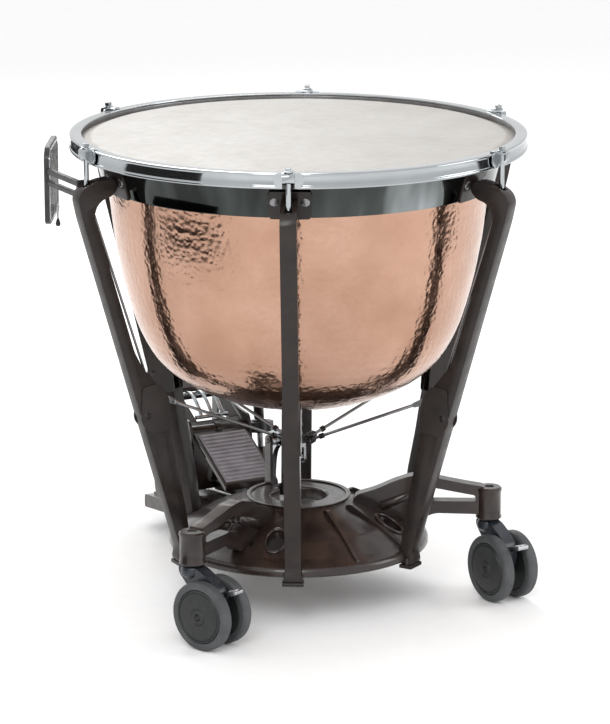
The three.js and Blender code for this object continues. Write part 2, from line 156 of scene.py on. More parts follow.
def copper():
    m = Nodes("hammered_copper", 0.18, 1.0)
    tint = m.ramp(m.noise(9, 5), [(0.3, (0.42, 0.245, 0.17)), (0.55, (0.50, 0.305, 0.222)),
        (0.8, (0.56, 0.355, 0.27))])
    stain = m.ramp(m.noise(140, 6), [(0.4, 0.0), (0.85, 0.3)])
    m.color(m.mix(stain, tint, (0.42, 0.22, 0.15, 1)))
    m.rough(m.ramp(m.noise(30, 6), [(0.3, 0.12), (0.75, 0.24)]))
    m.bump((m.cells(120), 0.55, 0.0012), (m.noise(230, 3), 0.20, 0.0008), (m.noise(900, 3), 0.05, 0.0003))
    return m.material


def chrome(name="chrome", roughness=0.06, color=(0.43, 0.455, 0.47)):
    m = Nodes(name, roughness, 1.0, color)
    m.rough(m.ramp(m.noise(45, 6), [(0.35, roughness * 0.7), (0.8, roughness * 2.2)]))
    m.color(m.ramp(m.noise(16, 4), [(0.3, tuple(c * 0.9 for c in color)), (0.7, color)]))
    m.bump((m.noise(700, 4, m.stretched((1, 1, 6))), 0.04, 0.0002))
    return m.material


def chrome_painted_reflection():
    # The band's colour is painted reflection: long vertical noise streaks run from near black to pale grey
    # on the chrome, standing in for a dark studio mirrored in it.
    m = Nodes("band_painted_reflection", 0.05, 1.0)
    painted_reflection_streaks = m.noise(9, 3, m.stretched((1, 1, 0.12)))
    m.color(m.ramp(painted_reflection_streaks, [(0.36, (0.026, 0.029, 0.028)), (0.54, (0.065, 0.072, 0.070)),
        (0.72, (0.33, 0.36, 0.365))]))
    m.rough(m.ramp(m.noise(45, 6), [(0.35, 0.04), (0.8, 0.12)]))
    m.bump((m.noise(14, 2), 0.05, 0.002))
    return m.material


def casting(name="brown_enamel", low=(0.010, 0.006, 0.005), high=(0.030, 0.019, 0.016), coat=0.45):
    m = Nodes(name, 0.32)
    m.set(Coat_Weight=coat, Coat_Roughness=0.12, Specular_IOR_Level=0.35)
    m.color(m.ramp(m.noise(26, 6), [(0.3, low), (0.72, high)]))
    m.rough(m.ramp(m.noise(60, 6), [(0.3, 0.26), (0.75, 0.45)]))
    m.bump((m.noise(420, 3), 0.12, 0.0006), (m.noise(60, 2), 0.10, 0.001))
    return m.material


def steel(name, color, roughness=0.3):
    m = Nodes(name, roughness, 1.0, color)
    grain = m.noise(1500, 4, m.stretched((1, 1, 0.06)))
    m.rough(m.ramp(grain, [(0.3, roughness * 0.75), (0.75, roughness * 1.4)]))
    m.color(m.ramp(m.noise(38, 5), [(0.3, tuple(c * 0.75 for c in color)), (0.7, color)]))
    m.bump((grain, 0.06, 0.0003))
    return m.material


def skin():
    m = Nodes("drumhead_film", 0.42)
    m.set(Subsurface_Weight=0.08, Subsurface_Scale=0.004, Specular_IOR_Level=0.45)
    cloud = m.noise(7, 6, roughness=0.62)
    m.color(m.ramp(cloud, [(0.28, (0.345, 0.32, 0.29)), (0.55, (0.40, 0.378, 0.352)),
        (0.8, (0.435, 0.42, 0.40))]))
    m.rough(m.ramp(m.noise(55, 6), [(0.3, 0.34), (0.75, 0.52)]))
    m.bump((m.noise(800, 4), 0.05, 0.0003), (m.noise(5, 2), 0.05, 0.002))
    return m.material


def moulded(name, low, high, roughness=0.45, grain=0.12):
    m = Nodes(name, roughness)
    m.color(m.ramp(m.noise(30, 5), [(0.3, low), (0.75, high)]))
    m.rough(m.ramp(m.noise(90, 5), [(0.3, roughness * 0.8), (0.75, roughness * 1.25)]))
    m.bump((m.noise(1100, 3), grain, 0.0004))
    return m.material


COPPER = copper()
CHROME = chrome()
SATIN = chrome("satin_chrome", 0.2, (0.50, 0.51, 0.53))
BAND = chrome_painted_reflection()
CASTING = casting()
STRUT = casting("strut_enamel", (0.009, 0.006, 0.005), (0.022, 0.0145, 0.012), 0.08)
STEEL = steel("bright_steel", (0.30, 0.30, 0.31))
DARK_STEEL = steel("dark_steel", (0.055, 0.052, 0.052), 0.36)
SKIN = skin()
BLACK = moulded("black_moulding", (0.010, 0.010, 0.011), (0.028, 0.029, 0.031), 0.4)
HOOD = moulded("caster_moulding", (0.010, 0.013, 0.018), (0.030, 0.036, 0.046), 0.28, 0.06)
FACE = moulded("wheel_face", (0.007, 0.008, 0.008), (0.016, 0.018, 0.018), 0.45)
TYRE = moulded("wheel_tyre", (0.036, 0.039, 0.041), (0.068, 0.072, 0.075), 0.62, 0.3)
TREAD = moulded("pedal_rubber", (0.20, 0.19, 0.205), (0.34, 0.325, 0.36), 0.7, 0.35)
MARKS = moulded("scale_marks", (0.62, 0.62, 0.60), (0.80, 0.80, 0.78), 0.5, 0.05)


# ---- mesh helpers -------------------------------------------------------------------------------
def piece(name, verts, faces, material, seat=CENTRE, body=None, crease=32, bevel=0.0, steps=3):
    """A mesh object in its seat. bevel rounds its sharp edges, crease is the smoothing angle."""
    mesh = bpy.data.meshes.new(name)
    mesh.from_pydata([tuple(v) for v in verts], [], [tuple(f) for f in faces])
    mesh.validate()
    mesh.polygons.foreach_set("use_smooth", [True] * len(mesh.polygons))
    if not bevel:
        mesh.set_sharp_from_angle(angle=math.radians(crease))
    mesh.materials.append(material)
    return seated(name, mesh, seat, body, bevel, steps)


def seated(name, mesh, seat, body, bevel=0.0, steps=3):
    obj = bpy.data.objects.new(name, mesh)
    obj.matrix_world = seat
    bpy.context.scene.collection.objects.link(obj)
    if bevel:
        rounding = obj.modifiers.new("rounding", "BEVEL")
        rounding.width = bevel
        rounding.segments = steps
        rounding.limit_method = "ANGLE"
        rounding.angle_limit = math.radians(28)
        rounding.harden_normals = True
    if body:
        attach(obj, body)
    return obj


def again(source, name, seat, body):
    """Another copy of a piece, with the same mesh, in another seat."""
    width = source.modifiers["rounding"].width if "rounding" in source.modifiers else 0
    steps = source.modifiers["rounding"].segments if width else 3
    return seated(name, source.data, seat, body, width, steps)


def filleted(points, radius, steps=4, closed=True):
    """Rounds the corners of an outline with arcs that reach `radius` back along each side."""
    count = len(points)
    result = []
    for i, point in enumerate(points):
        here = Vector(point)
        if not closed and i in (0, count - 1):
            result.append(tuple(here))
            continue
        before, after = Vector(points[i - 1]), Vector(points[(i + 1) % count])
        reach = min(radius, (before - here).length * 0.45, (after - here).length * 0.45)
        start = here + (before - here).normalized() * reach
        end = here + (after - here).normalized() * reach
        for k in range(steps + 1):
            t = k / steps
            result.append(tuple(start * (1 - t) ** 2 + here * 2 * t * (1 - t) + end * t ** 2))
    return result


def spline_point(a, b, c, d, t):
    """The Catmull-Rom point between b and c."""
    return tuple(0.5 * (2 * b + (c - a) * t + (2 * a - 5 * b + 4 * c - d) * t ** 2
                        + (3 * b - a - 3 * c + d) * t ** 3))


def smooth_curve(points, count):
    """An open smooth curve through the points."""
    p = np.array([points[0], *points, points[-1]], float)
    result = []
    for place in np.linspace(0, len(points) - 1, count):
        i = min(int(place), len(points) - 2)
        result.append(spline_point(*p[i:i + 4], place - i))
    return result


def smooth_closed(points, each=4):
    """A smooth closed outline through the points."""
    p = np.array(points, float)
    result = []
    for i in range(len(p)):
        around = [p[(i + k) % len(p)] for k in (-1, 0, 1, 2)]
        result += [spline_point(*around, k / each) for k in range(each)]
    return result


def turned(name, profile, material, seat=CENTRE, body=None, segments=96, crease=32):
    """A closed profile of (radius, height) in millimetres, turned about the seat's Z axis."""
    area = sum(a[0] * b[1] - b[0] * a[1] for a, b in zip(profile, [*profile[1:], profile[0]]))
    if area < 0:
        profile = profile[::-1]
    verts, rings = [], []
    for r, z in profile:
        if r < 1e-6:
            rings.append([len(verts)] * segments)
            verts.append((0, 0, z * MM))
            continue
        rings.append(list(range(len(verts), len(verts) + segments)))
        for k in range(segments):
            turn = 2 * math.pi * k / segments
            verts.append((r * MM * math.cos(turn), r * MM * math.sin(turn), z * MM))
    faces = []
    pairs = list(zip(rings, [*rings[1:], rings[0]]))
    for low, high in pairs:
        if low[0] == low[1] and high[0] == high[1]:
            continue
        for k in range(segments):
            n = (k + 1) % segments
            corners = [low[k], low[n], high[n], high[k]]
            faces.append([c for j, c in enumerate(corners) if c not in corners[:j]])
    return piece(name, verts, faces, material, seat, body, crease)


def extruded(name, outline, low, high, material, seat=CENTRE, body=None, bevel=1.2, holes=(), steps=3):
    """An outline of (x, z) in millimetres, extruded along the seat's Y axis from low to high."""
    loops = [list(outline), *[list(h) for h in holes]]
    flat = [point for loop in loops for point in loop]
    caps = tessellate_polygon([[Vector((x, z, 0)) for x, z in loop] for loop in loops])
    count = len(flat)
    verts = [(x * MM, side * MM, z * MM) for side in (low, high) for x, z in flat]
    faces = []
    for a, b, c in caps:
        (ax, az), (bx, bz), (cx, cz) = flat[a], flat[b], flat[c]
        if (bx - ax) * (cz - az) - (cx - ax) * (bz - az) < 0:
            a, b, c = c, b, a
        faces += [(a, b, c), (c + count, b + count, a + count)]
    first = 0
    for loop in loops:
        size = len(loop)
        area = sum(p[0] * q[1] - q[0] * p[1] for p, q in zip(loop, [*loop[1:], loop[0]]))
        outward = (area > 0) == (first == 0)
        for k in range(size):
            a, b = first + k, first + (k + 1) % size
            faces.append((b, a, a + count, b + count) if outward else (a, b, b + count, a + count))
        first += size
    return piece(name, verts, faces, material, seat, body, bevel=bevel * MM, steps=steps)


def side_extruded(name, outline, low, high, material, body, **more):
    """The same for (y, z) outlines measured from the kettle's axis, extruded along X."""
    return extruded(name, outline, -high, -low, material, spoke(180), body, **more)


def slab(name, low, high, material, seat=CENTRE, body=None, bevel=1.2, steps=3):
    """A block between two corners in millimetres, with rounded edges."""
    (x0, y0, z0), (x1, y1, z1) = low, high
    return extruded(name, [(x0, z0), (x1, z0), (x1, z1), (x0, z1)], y0, y1, material, seat, body, bevel,
        steps=steps)


def toward(start, end):
    """The matrix with its origin at start and its Z axis towards end, both in millimetres."""
    a, b = Vector(start) * MM, Vector(end) * MM
    return Matrix.Translation(a) @ (b - a).to_track_quat("Z", "Y").to_matrix().to_4x4()


def rod(name, start, end, radius, material, seat=CENTRE, body=None, soften=0.8, segments=24):
    """A round bar with softened ends."""
    length = (Vector(end) - Vector(start)).length
    outline = [(0, 0), (radius - soften, 0), (radius, soften), (radius, length - soften),
        (radius - soften, length), (0, length)]
    return turned(name, outline, material, seat @ toward(start, end), body, segments, 60)


def hexagon(name, start, end, across, material, seat=CENTRE, body=None):
    """A hexagon nut or bolt head along a line, with a chamfered top."""
    length = (Vector(end) - Vector(start)).length
    corner = across / math.sqrt(3)
    outline = [(corner * math.cos(math.radians(60 * k)),
        corner * math.sin(math.radians(60 * k))) for k in range(6)]
    lay = Matrix.Rotation(math.radians(90), 4, "X")
    return extruded(name, outline, -length, 0, material, seat @ toward(start, end) @ lay, body,
        bevel=across * 0.06)


def swept(name, points, radius, material, seat=CENTRE, body=None, sides=16):
    """A round tube through the points, with domed ends."""
    path = [Vector(p) * MM for p in points]
    tangents = [(path[min(i + 1, len(path) - 1)] - path[max(i - 1,
        0)]).normalized() for i in range(len(path))]
    normal = tangents[0].orthogonal().normalized()
    verts, faces = [], []
    for i, (at, tangent) in enumerate(zip(path, tangents)):
        normal = (normal - tangent * normal.dot(tangent)).normalized()
        other = tangent.cross(normal)
        for k in range(sides):
            turn = 2 * math.pi * k / sides
            verts.append(at + (normal * math.cos(turn) + other * math.sin(turn)) * radius * MM)
        if i:
            low = (i - 1) * sides
            for k in range(sides):
                n = (k + 1) % sides
                faces.append((low + k, low + n, low + sides + n, low + sides + k))
    last = (len(path) - 1) * sides
    for ring, tip, flip in ((0, path[0] - tangents[0] * radius * 0.5 * MM, True),
                            (last, path[-1] + tangents[-1] * radius * 0.5 * MM, False)):
        verts.append(tip)
        for k in range(sides):
            edge = (ring + (k + 1) % sides, ring + k) if flip else (ring + k, ring + (k + 1) % sides)
            faces.append((*edge, len(verts) - 1))
    return piece(name, verts, faces, material, seat, body, crease=60)


def link_outline(a, b, start_radius, end_radius, steps=10):
    """Two round ends joined by straight sides."""
    heading = math.atan2(b[1] - a[1], b[0] - a[0])
    points = []
    for (x, z), radius, first in ((a, start_radius, math.pi / 2), (b, end_radius, -math.pi / 2)):
        for k in range(steps + 1):
            turn = heading + first + math.pi * k / steps
            points.append((x + radius * math.cos(turn), z + radius * math.sin(turn)))
    return points


def circle(centre, radius, steps=20):
    return [(centre[0] + radius * math.cos(2 * math.pi * k / steps),
             centre[1] + radius * math.sin(2 * math.pi * k / steps)) for k in range(steps)]


def along(a, b, distance):
    length = math.hypot(b[0] - a[0], b[1] - a[1])
    return (a[0] + (b[0] - a[0]) * distance / length, a[1] + (b[1] - a[1]) * distance / length)


def cut(obj, *cutters):
    """Cuts solids out of a piece and keeps the result as its mesh."""
    for cutter in cutters:
        knife = obj.modifiers.new("knife", "BOOLEAN")
        knife.operation = "DIFFERENCE"
        knife.solver = "EXACT"
        knife.object = cutter
    bpy.context.view_layer.update()
    result = bpy.data.meshes.new_from_object(obj.evaluated_get(bpy.context.evaluated_depsgraph_get()))
    obj.modifiers.clear()
    obj.data = result
    for cutter in cutters:
        bpy.data.objects.remove(cutter)


# ---- kettle ---------------------------------------------------------------------------------------
BOWL_POINTS = [(12, 359), (110, 369), (190, 397), (245, 436), (281, 490), (307, 565), (327, 660),
    (342, 768), (366, 846)]


def hammered_bowl():
    """The copper shell. Rows of shallow hammer marks go round it, each row staggered on the next."""
    segments, rows, wall, pitch, depth = 440, 180, 1.6, 17.0, 0.55
    outer = np.array(smooth_curve(BOWL_POINTS, rows))
    step = np.hypot(*np.diff(outer, axis=0).T)
    reach = np.concatenate([[0], np.cumsum(step)])
    slope = np.gradient(outer, axis=0)
    slope /= np.hypot(slope[:, 0], slope[:, 1])[:, None]
    normal = np.stack([slope[:, 1], -slope[:, 0]], 1)
    turn = np.arange(segments) * 2 * math.pi / segments
    nearest = np.full((rows, segments), 9.0)
    for shift in (-1, 0, 1):
        row = np.floor(reach / pitch) + shift
        middle = (row + 0.5) * pitch + 0.12 * pitch * np.sin(row * 12.9)
        around = np.maximum(np.round(2 * math.pi * np.interp(middle, reach, outer[:, 0]) / pitch), 3)
        place = turn[None, :] / (2 * math.pi) * around[:, None] - (row % 2)[:, None] / 2
        wander = 0.16 * np.sin(np.round(place) * 7.7 + row[:, None] * 3.1)
        across = (place - np.round(place) - wander) / around[:, None] * 2 * math.pi * outer[:, :1]
        gap = ((reach - middle)[:, None] ** 2 + across ** 2) / (0.72 * pitch) ** 2
        nearest = np.minimum(nearest, gap)
    dent = depth * np.clip(1 - nearest, 0, 1)
    dent[-6:] = 0
    radius = outer[:, :1] - dent * normal[:, :1]
    height = outer[:, 1:] - dent * normal[:, 1:]
    inner = outer[::4] - normal[::4] * wall
    inner[0] = (outer[0, 0], outer[0, 1] + wall)
    verts = [(r * math.cos(t) * MM, r * math.sin(t) * MM, z * MM)
             for row_r, row_z in zip(radius, height) for r, z, t in zip(row_r, row_z, turn)]
    verts += [(r * math.cos(t) * MM, r * math.sin(t) * MM, z * MM) for r, z in inner[::-1] for t in turn]
    total = rows + len(inner)
    faces = []
    for i in range(total):
        low, high = i * segments, (i + 1) % total * segments
        for k in range(segments):
            n = (k + 1) % segments
            faces.append((low + k, low + n, high + n, high + k))
    shell = piece("kettle_shell", verts, faces, COPPER, CENTRE, "frame", crease=50)
    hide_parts("bowl")


def kettle():
    hammered_bowl()
    band = [(347.6, 768.2), (348.2, 767.2), (349.6, 767.4), (350.2, 769), (349.9, 771), (367.2, 838),
        (369.3, 840), (369.6, 843), (368.4, 845), (366.4, 844.6), (364.6, 838), (343.8, 769)]
    ring = turned("kettle_band", band, BAND, CENTRE, "frame", 160)
    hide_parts("bowl_band")
    grommet = [(7, 352.5), (17, 353), (19, 355), (19, 357.5), (13, 358.2), (11.6, 358.2), (11.6, 364),
        (7, 364)]
    turned("vent_grommet", grommet, BLACK, CENTRE, "frame", 40)


FILM_TOP, FILM_THICKNESS = 847.75, 0.5


def drumhead():
    """The film lies flat over the bowl's lip, then slopes down to the flesh hoop that moves."""
    film = [(0, FILM_TOP)]
    film += [(r, FILM_TOP) for r in (60, 120, 180, 240, 300, 340, 362)]
    film += [(366, 847.7), (368.6, 847.3), (370.5, 846.4), (373, 845.3), (377, 844), (382, 842.5),
        (388, 840.8), (392, 840)]
    below = [(r, z - FILM_THICKNESS) for r, z in film[::-1]]
    head = turned("film", film + below, SKIN, CENTRE, None, 160, 40)
    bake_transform(head)
    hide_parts("drumhead")
    ring = filleted([(388.5, 838), (401, 838), (401, 850.4), (388.5, 850.4)], 2)
    flesh = turned("flesh_ring", ring, STEEL, CENTRE, "hoop", 128)
    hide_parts("flesh_hoop")


def counterhoop():
    rim = filleted([(384.5, 851), (403, 851), (401.4, 835), (401.4, 827), (405, 827), (406.5, 828.6),
        (406.5, 831.6), (404.6, 833.4), (404.6, 849), (406, 851), (405.4, 853.4), (402, 854), (384.5, 854)],
        1.3, 3)
    ring = turned("hoop_ring", rim, CHROME, CENTRE, "hoop", 200)
    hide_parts("counterhoop")
    hook = filleted([(394, 854.3), (406.8, 854.3), (406.8, 830), (410, 829), (416, 838), (422.5, 841),
        (423, 853), (420, 857), (396, 857.4)], 2.2, 3)
    skirt = filleted([(-25, 838), (-18, 829.5), (18, 829.5), (25, 838), (25, 851), (20, 855.5),
        (-20, 855.5), (-25, 851)], 3)
    first = None
    for i, angle in enumerate(STRUT_ANGLES, 1):
        seat = spoke(angle)
        face = seat @ Matrix.Rotation(math.radians(90), 4, "Z")
        if first is None:
            hooked = extruded("claw_1", hook, -10.5, 10.5, CHROME, seat, "hoop", 1.2)
            bore = rod("bore", (413, 0, 800), (413, 0, 880), 5.0, CHROME, seat)
            cut(hooked, bore)
            hooked.data.set_sharp_from_angle(angle=math.radians(30))
            plate = extruded("claw_plate_1", skirt, -409.2, -406.7, CHROME, face, "hoop", 0.9)
            first = (hooked, plate)
        else:
            again(first[0], f"claw_{i}", seat, "hoop")
            again(first[1], f"claw_plate_{i}", face, "hoop")


# ---- struts and the tuning linkage -------------------------------------------------------------------
PIVOT, ROD_PIN, WIRE_PIN = (309, 371), (270, 396), (283, 375)
WIRE_TOP, SCREW_R, SPIDER_PIN = (408, 766), 413, (22, 287)
STRUT_HALF, HEAD_BOLT_OUT = 14.2, 26.5
# (y, z) of the pins between the pedal and the spider
PEDAL_PIVOT, PEDAL_PIN = (335, 225), (358.4, 124.7)
ROCKER_PIVOT, ROCKER_PIN, CLEVIS_PIN = (85, 264), (108.4, 123.9), (0, 250)


def outer_at(z):
    return 241 + (435 - 241) * (z - 101) / (761 - 101)


def strut_outline():
    corners = [(222, 104), (226, 90), (236, 86), (246, 88), (250, 98), (246, 116), (outer_at(735), 735),
        (435, 770), (428, 786), (410, 796), (388, 801), (366, 803), (358, 786), (372, 771), (388, 767),
        (399, 757), (405, 740), (332, 490), (318, 462), (284, 420), (275, 395), (262, 333), (251, 268),
        (236, 198)]
    return filleted(corners, 9, 4)


def curved_plate(name, radii, heights, half_angle, thick, material, seat, body, bevel):
    """A plate that follows the kettle's taper. Its low and high edges draw in a little."""
    (radius_low, radius_high), (low, high) = radii, heights
    columns = 9
    verts, faces = [], []
    widths = np.linspace(-1, 1, columns)
    levels = np.linspace(low, high, 7)
    for layer in (0, thick):
        for z in levels:
            share = (z - low) / (high - low)
            inset = max(0, abs(share - 0.5) * 2 - 0.7) / 0.3
            for w in widths:
                turn = math.radians(w * half_angle * (1 - 0.10 * inset ** 2))
                r = radius_low + (radius_high - radius_low) * share + layer
                verts.append((r * math.cos(turn) * MM, r * math.sin(turn) * MM, z * MM))
    rows, size = len(levels), columns * len(levels)
    for i in range(rows - 1):
        for k in range(columns - 1):
            a = i * columns + k
            faces.append((a, a + columns, a + columns + 1, a + 1))
            faces.append((size + a, size + a + 1, size + a + columns + 1, size + a + columns))
    border = [(0, k) for k in range(columns)] + [(i, columns - 1) for i in range(1, rows)]
    border += [(rows - 1, k) for k in range(columns - 2, -1, -1)] + [(i, 0) for i in range(rows - 2, 0, -1)]
    ids = [i * columns + k for i, k in border]
    for a, b in zip(ids, [*ids[1:], ids[0]]):
        faces.append((a, b, b + size, a + size))
    return piece(name, verts, faces, material, seat, body, bevel=bevel * MM)


def strut_arm(name, seat):
    """The cast arm, with the room for its bell crank and its tension screw cut out."""
    knee_room = [(240, 345), (outer_at(345) - 3, 345), (outer_at(415) - 3, 415), (outer_at(500) - 6, 500),
        (300, 500), (240, 400)]
    screw_room = [(392, 700), (404, 700), (421, 745), (421, 830), (398, 830), (398, 750)]
    arm = extruded(name, strut_outline(), -STRUT_HALF, STRUT_HALF, STRUT, seat, "frame", 4.2, steps=4)
    knee_knife = extruded("knee_slot", knee_room, -8, 8, STRUT, seat, None, 0)
    screw_knife = extruded("screw_slot", screw_room, -6.6, 6.6, STRUT, seat, None, 0)
    cut(arm, knee_knife, screw_knife)
    arm.data.set_sharp_from_angle(angle=math.radians(30))
    return arm


def strut_pieces(i, angle, made):
    """One strut and its bolts. The first strut's meshes serve the others too."""
    seat, body = spoke(angle), "frame"
    cheek = filleted([(266, 398), (284, 428), (318, 424), (322, 360), (304, 336), (262, 340)], 9)

    def add(key, maker, *details):
        name = f"{key}_{i}"
        if key not in made:
            obj = maker(name, *details)
            made[key] = obj, seat.inverted() @ obj.matrix_world
            return obj
        first, lay = made[key]
        return again(first, name, seat @ lay, body)

    arm = add("strut_arm", strut_arm, seat)
    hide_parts(f"strut_{i}")
    add("strut_head", curved_plate, (346.6, 360.6), (765, 816), 6.0, 6.5, STRUT, seat, body, 2.0)
    for label, side in (("a", -1), ("b", 1)):
        bolt = side * HEAD_BOLT_OUT
        cap_from, cap_to = (PIVOT[0], side * 13.6, PIVOT[1]), (PIVOT[0], side * 17.2, PIVOT[1])
        tooth = side * 13
        low, high = sorted((side * 13.6, side * 16.4))
        add(f"head_bolt_{label}", hexagon, (359, bolt, 797), (366.5, bolt * 1.01, 795.5), 11, CHROME, seat,
            body)
        add(f"head_washer_{label}", rod, (358, bolt, 797.2), (362, bolt, 796.2), 7.6, STEEL, seat, body,
            0.5, 28)
        add(f"knee_cap_{label}", rod, cap_from, cap_to, 6.5, DARK_STEEL, seat, body, 1.2, 24)
        add(f"foot_bolt_{label}", hexagon, (238, tooth, 90), (238.5, tooth, 77), 9, DARK_STEEL, seat, body)
        add(f"knee_cheek_{label}", extruded, cheek, low, high, STRUT, seat, body, 1.3)
    add("foot_bolt_c", hexagon, (230, 0, 90), (229, 0, 77), 9, DARK_STEEL, seat, body)
    add("foot_flange", slab, (224, -19, 84), (250, 19, 91), STRUT, seat, body, 2)


def linkage_pieces(i, angle):
    seat = spoke(angle)
    crank_outline = filleted([
        (318, 371), (315, 378.5), (300, 388), (277, 403), (266, 405), (261, 397), (264, 388), (274, 370),
        (283, 366.5), (300, 364), (309, 361.5), (316, 365),
    ], 5, 4)
    body = f"bell_crank_{i}"
    crank = extruded(f"crank_plate_{i}", crank_outline, -3, 3, DARK_STEEL, seat, body, 0.9)
    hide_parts(f"bell_crank_{i}")
    rod(f"crank_pivot_{i}", (309, -13.4, 371), (309, 13.4, 371), 4, STEEL, seat, body, 0.5)
    rod(f"crank_pin_{i}", (270, -7.3, 396), (270, 3.9, 396), 3, CHROME, seat, body, 0.6)
    rod(f"crank_wire_pin_{i}", (283, -3.9, 375), (283, 7.3, 375), 3, CHROME, seat, body, 0.6)

    start = along(WIRE_PIN, WIRE_TOP, 38)
    eye = extruded(f"wire_eye_{i}", link_outline(WIRE_PIN, start, 9, 5), 3.4, 6.8, STEEL, seat, "hoop", 0.6,
                   holes=[circle(WIRE_PIN, 5.4)])
    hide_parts(f"strut_rod_{i}")
    rod(f"wire_boss_{i}", (start[0], -3, start[1]), (start[0], 6.6, start[1]), 4.6, STEEL, seat, "hoop",
        0.8)
    rod(f"wire_{i}", (start[0], 0, start[1]), (WIRE_TOP[0], 0, WIRE_TOP[1]), 2.3, STEEL, seat, "hoop", 0.3)
    rod(f"barrel_nut_{i}", (410, 0, 762), (410, 0, 789.3), 6, CHROME, seat, "hoop", 1.2)

    body = f"tension_screw_{i}"
    lay = seat @ Matrix.Translation((SCREW_R * MM, 0, 0))
    shank = [(0, 790.8), (3.7, 790.8), (4.4, 792), (4.4, 856.8), (8.2, 857.6), (8.2, 859.4), (6.5, 860),
        (0, 860)]
    screw = turned(f"screw_shank_{i}", shank, CHROME, lay, body, 32, 40)
    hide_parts(f"tension_screw_{i}")
    slab(f"screw_head_{i}", (-4.6, -4.6, 859.6), (4.6, 4.6, 866), CHROME, lay, body, 1.0)

    body = f"pull_rod_{i}"
    fork_end, eye_end = along(ROD_PIN, SPIDER_PIN, 26), along(SPIDER_PIN, ROD_PIN, 8)
    fork = extruded(f"rod_eye_{i}", link_outline(ROD_PIN, fork_end, 7, 4.5), -6.8, -3.4, STEEL, seat, body,
        0.6, holes=[circle(ROD_PIN, 3.3)])
    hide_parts(f"pull_rod_{i}")
    rod(f"rod_boss_{i}", (fork_end[0], -6.6, fork_end[1]), (fork_end[0], 3, fork_end[1]), 4.4, STEEL, seat,
        body, 0.8)
    rod(f"rod_bar_{i}", (fork_end[0], 0, fork_end[1]), (eye_end[0], 0, eye_end[1]), 2.8, STEEL, seat, body,
        0.3)
    near = along(SPIDER_PIN, ROD_PIN, 26)
    far = along(SPIDER_PIN, ROD_PIN, 18)
    hexagon(f"rod_nut_{i}", (near[0], 0, near[1]), (far[0], 0, far[1]), 9.5, DARK_STEEL, seat, body)
    extruded(f"rod_hook_{i}", link_outline(SPIDER_PIN, eye_end, 8.8, 7.5), -2.4, 2.4, DARK_STEEL, seat,
        body, 0.8, holes=[circle(SPIDER_PIN, 6)])


def spider():
    body = "spider"
    core = filleted([(0, 271), (8, 271), (9, 276), (7, 280), (7, 297), (5, 303), (0, 304)], 1.5, 3,
        closed=False)
    hub = turned("spider_hub", core, SATIN, CENTRE, body, 40, 50)
    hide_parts("spider")
    turned("spider_ring", circle(SPIDER_PIN, 2.9, 14), DARK_STEEL, CENTRE, body, 64, 70)
    for k in range(6):
        rod(f"spider_arm_{k}", (5, 0, 287), (20.5, 0, 287), 2.3, DARK_STEEL, spoke(60 * k), body, 0.2)
    slab("clevis_bridge", (-10.8, -8.5, 271), (10.8, 8.5, 279.5), SATIN, CENTRE, body, 1.6)
    for label, low, high in (("a", 6.6, 10.8), ("b", -10.8, -6.6)):
        side_extruded(f"clevis_cheek_{label}", link_outline(CLEVIS_PIN, (0, 272), 9, 8.6), low, high, SATIN,
            body, bevel=1.0)
        side = math.copysign(1, low)
        rod(f"clevis_nut_{label}", (side * 10.8, *CLEVIS_PIN), (side * 13.4, *CLEVIS_PIN), 5.4, DARK_STEEL,
            CENTRE, body, 0.8)
    rod("clevis_pin", (-12, *CLEVIS_PIN), (12, *CLEVIS_PIN), 3.4, CHROME, CENTRE, body, 0.5)


def rocker():
    outline = smooth_closed([(-9, 250), (-7, 258), (6, 265), (30, 279), (62, 286), (95, 281), (112, 262),
        (119, 235), (119.5, 200), (118.5, 160), (117.5, 124), (108.4, 115), (99.5, 122), (99, 160),
        (98, 205), (88, 243), (62, 262), (30, 256), (6, 242), (-5, 243)])
    lever = side_extruded("rocker_lever", outline, -5, 5, CHROME, "rocker", bevel=1.8,
        holes=[circle(CLEVIS_PIN, 5.2)])
    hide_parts("rocker")
    rod("rocker_boss", (-13.5, *ROCKER_PIVOT), (13.5, *ROCKER_PIVOT), 9, SATIN, CENTRE, "rocker", 1.2, 32)
    rod("rocker_pivot", (-23, *ROCKER_PIVOT), (23, *ROCKER_PIVOT), 4, STEEL, CENTRE, "rocker", 1)
    rod("rocker_pin", (0, *ROCKER_PIN), (13.6, *ROCKER_PIN), 4, STEEL, CENTRE, "rocker", 0.8)
    link = side_extruded("drag_link_bar", link_outline(ROCKER_PIN, PEDAL_PIN, 8, 8), 5.6, 11.4, STEEL,
                         "drag_link", bevel=1.0, holes=[circle(ROCKER_PIN, 4.3), circle(PEDAL_PIN, 5.2)])
    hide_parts("drag_link")


# ---- base, legs and casters -----------------------------------------------------------------------
ROCKER_SLOT = (-14, 40, 60), (14, 245, 200)
WINDOW_ANGLES = (-80, -41, 41, 80)
CASTER_RADIUS, AXLE_TRAIL, WHEEL_RADIUS = 346, 45, 61.5


